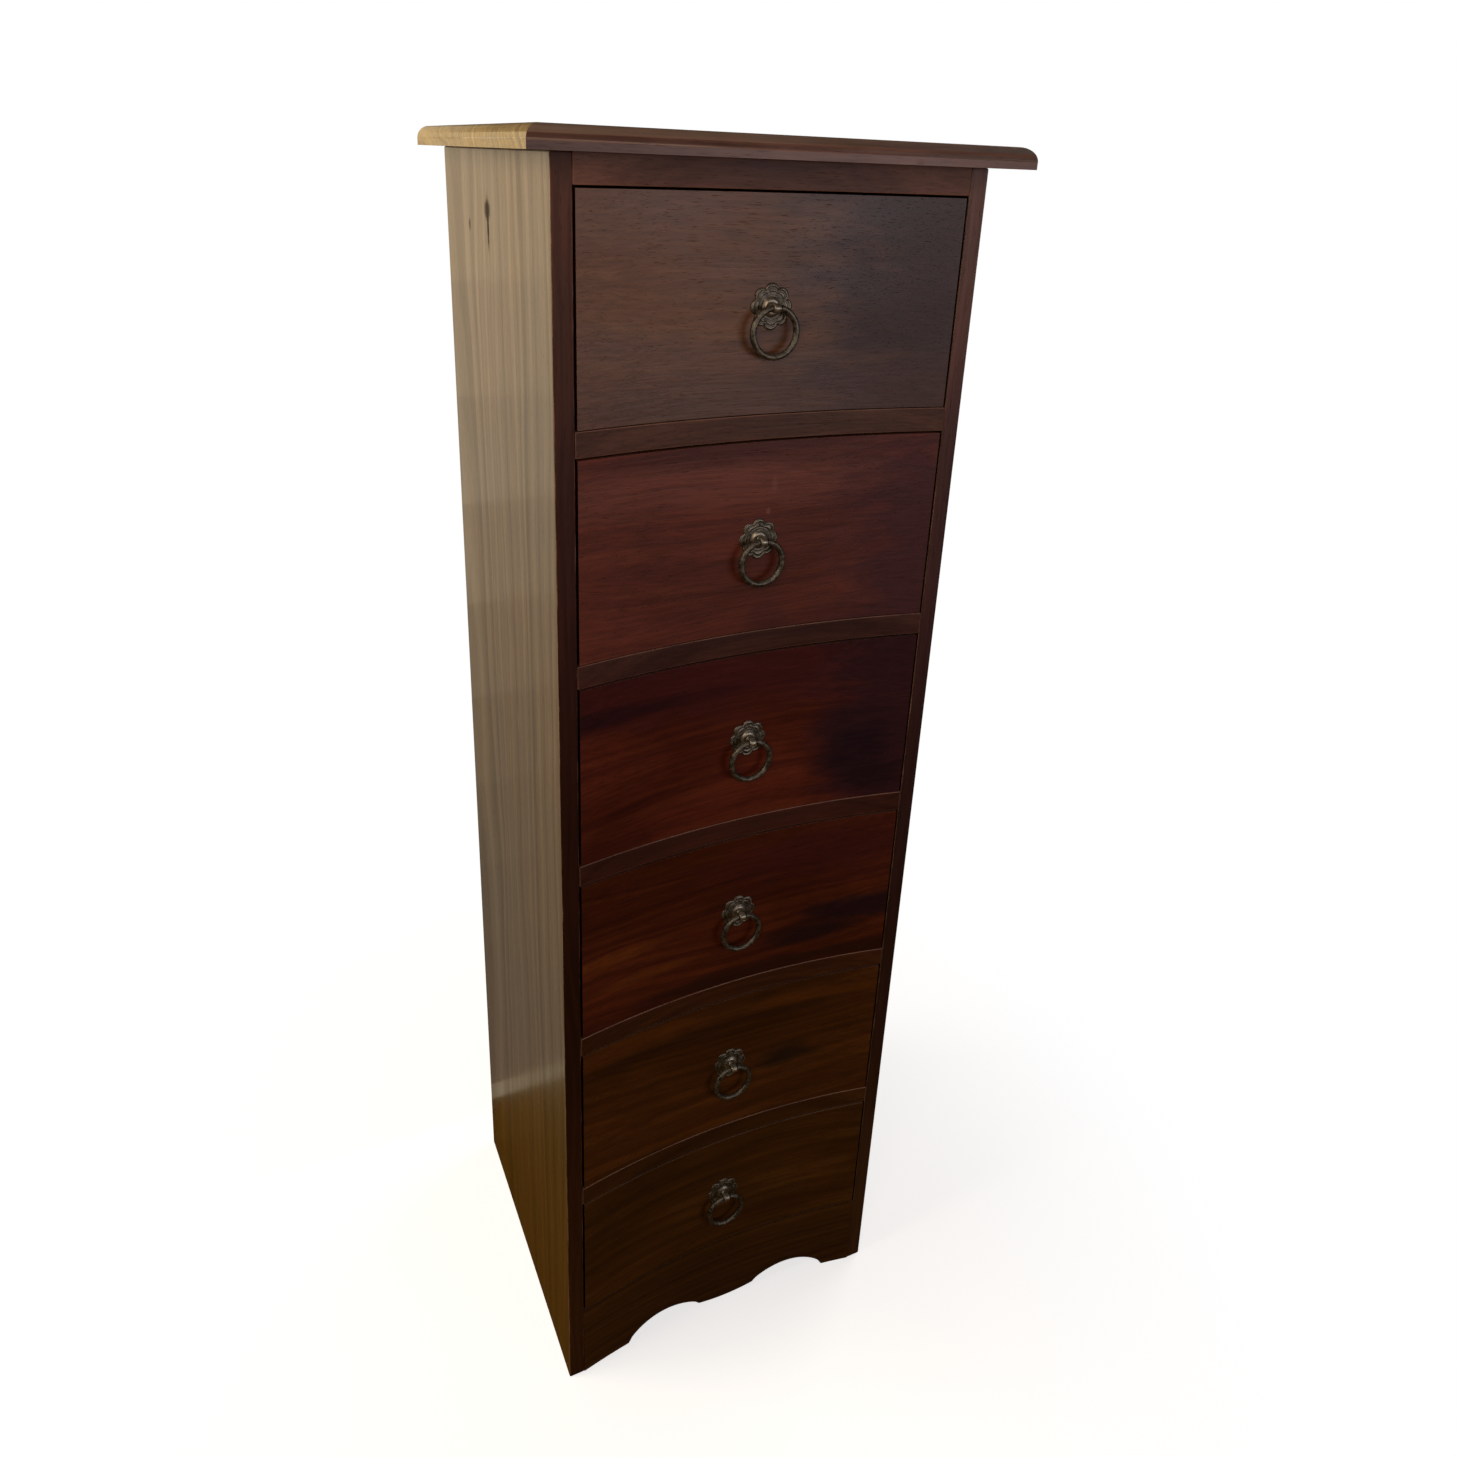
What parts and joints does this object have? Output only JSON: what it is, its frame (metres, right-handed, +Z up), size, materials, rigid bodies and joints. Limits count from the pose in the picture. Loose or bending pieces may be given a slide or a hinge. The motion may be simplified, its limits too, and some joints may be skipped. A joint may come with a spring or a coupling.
{
  "type": "tall chest of drawers",
  "caption": "Tall narrow wooden chest with a concave front: inset sliding drawers with hanging ring pulls, a wide rounded top and a scalloped apron on plain side boards.",
  "frame": {"origin": "on the floor, centred under the whole chest", "axes": "+Z up, +Y to the back, +X to the right as seen from the front; the drawers slide out along -Y"},
  "size_m": [0.452, 0.394, 1.368],
  "materials": {
    "top_wood": "satin",
    "side_wood": "satin",
    "front_wood": "satin",
    "drawer_wood": "satin",
    "inner_wood": "matte",
    "plywood": "matte",
    "bronze": "antique",
    "steel": "zinc"
  },
  "bodies": {
    "case": {"top_panel": "top_wood", "left_side": "side_wood", "right_side": "side_wood", "back_panel": "plywood", "top_rail": "front_wood", "rail_1": "front_wood", "rail_2": "front_wood", "rail_3": "front_wood", "rail_4": "front_wood", "rail_5": "front_wood", "apron": "front_wood", "bottom_board": "inner_wood", "runners": "inner_wood", "rear_rails": "inner_wood", "drawer_stops": "inner_wood", "glue_blocks": "inner_wood", "top_screws": "steel", "back_screws": "steel"},
    "drawer_1": {"drawer_1_front": "drawer_wood", "drawer_1_sides": "inner_wood", "drawer_1_back": "inner_wood", "drawer_1_bottom": "plywood", "drawer_1_plate": "bronze", "drawer_1_eye_bolt": "bronze"},
    "ring_1": {"drawer_1_ring": "bronze"},
    "drawer_2": {"drawer_2_front": "drawer_wood", "drawer_2_sides": "inner_wood", "drawer_2_back": "inner_wood", "drawer_2_bottom": "plywood", "drawer_2_plate": "bronze", "drawer_2_eye_bolt": "bronze"},
    "ring_2": {"drawer_2_ring": "bronze"},
    "drawer_3": {"drawer_3_front": "drawer_wood", "drawer_3_sides": "inner_wood", "drawer_3_back": "inner_wood", "drawer_3_bottom": "plywood", "drawer_3_plate": "bronze", "drawer_3_eye_bolt": "bronze"},
    "ring_3": {"drawer_3_ring": "bronze"},
    "drawer_4": {"drawer_4_front": "drawer_wood", "drawer_4_sides": "inner_wood", "drawer_4_back": "inner_wood", "drawer_4_bottom": "plywood", "drawer_4_plate": "bronze", "drawer_4_eye_bolt": "bronze"},
    "ring_4": {"drawer_4_ring": "bronze"},
    "drawer_5": {"drawer_5_front": "drawer_wood", "drawer_5_sides": "inner_wood", "drawer_5_back": "inner_wood", "drawer_5_bottom": "plywood", "drawer_5_plate": "bronze", "drawer_5_eye_bolt": "bronze"},
    "ring_5": {"drawer_5_ring": "bronze"},
    "drawer_6": {"drawer_6_front": "drawer_wood", "drawer_6_sides": "inner_wood", "drawer_6_back": "inner_wood", "drawer_6_bottom": "plywood", "drawer_6_plate": "bronze", "drawer_6_eye_bolt": "bronze"},
    "ring_6": {"drawer_6_ring": "bronze"}
  },
  "joints": [
    {"name": "drawer_1_slide", "type": "slide", "parent": "case", "child": "drawer_1", "axis": [0, -1, 0], "range_m": [0, 0.22]},
    {"name": "ring_1_hinge", "type": "hinge", "parent": "drawer_1", "child": "ring_1", "pos_m": [0, -0.157, 1.2325], "axis": [-1, 0, 0], "range_deg": [-8, 170]},
    {"name": "drawer_2_slide", "type": "slide", "parent": "case", "child": "drawer_2", "axis": [0, -1, 0], "range_m": [0, 0.22]},
    {"name": "ring_2_hinge", "type": "hinge", "parent": "drawer_2", "child": "ring_2", "pos_m": [0, -0.157, 1.022], "axis": [-1, 0, 0], "range_deg": [-8, 170]},
    {"name": "drawer_3_slide", "type": "slide", "parent": "case", "child": "drawer_3", "axis": [0, -1, 0], "range_m": [0, 0.22]},
    {"name": "ring_3_hinge", "type": "hinge", "parent": "drawer_3", "child": "ring_3", "pos_m": [0, -0.157, 0.8115], "axis": [-1, 0, 0], "range_deg": [-8, 170]},
    {"name": "drawer_4_slide", "type": "slide", "parent": "case", "child": "drawer_4", "axis": [0, -1, 0], "range_m": [0, 0.22]},
    {"name": "ring_4_hinge", "type": "hinge", "parent": "drawer_4", "child": "ring_4", "pos_m": [0, -0.157, 0.601], "axis": [-1, 0, 0], "range_deg": [-8, 170]},
    {"name": "drawer_5_slide", "type": "slide", "parent": "case", "child": "drawer_5", "axis": [0, -1, 0], "range_m": [0, 0.22]},
    {"name": "ring_5_hinge", "type": "hinge", "parent": "drawer_5", "child": "ring_5", "pos_m": [0, -0.157, 0.3905], "axis": [-1, 0, 0], "range_deg": [-8, 170]},
    {"name": "drawer_6_slide", "type": "slide", "parent": "case", "child": "drawer_6", "axis": [0, -1, 0], "range_m": [0, 0.22]},
    {"name": "ring_6_hinge", "type": "hinge", "parent": "drawer_6", "child": "ring_6", "pos_m": [0, -0.157, 0.189], "axis": [-1, 0, 0], "range_deg": [-8, 170]}
  ]
}
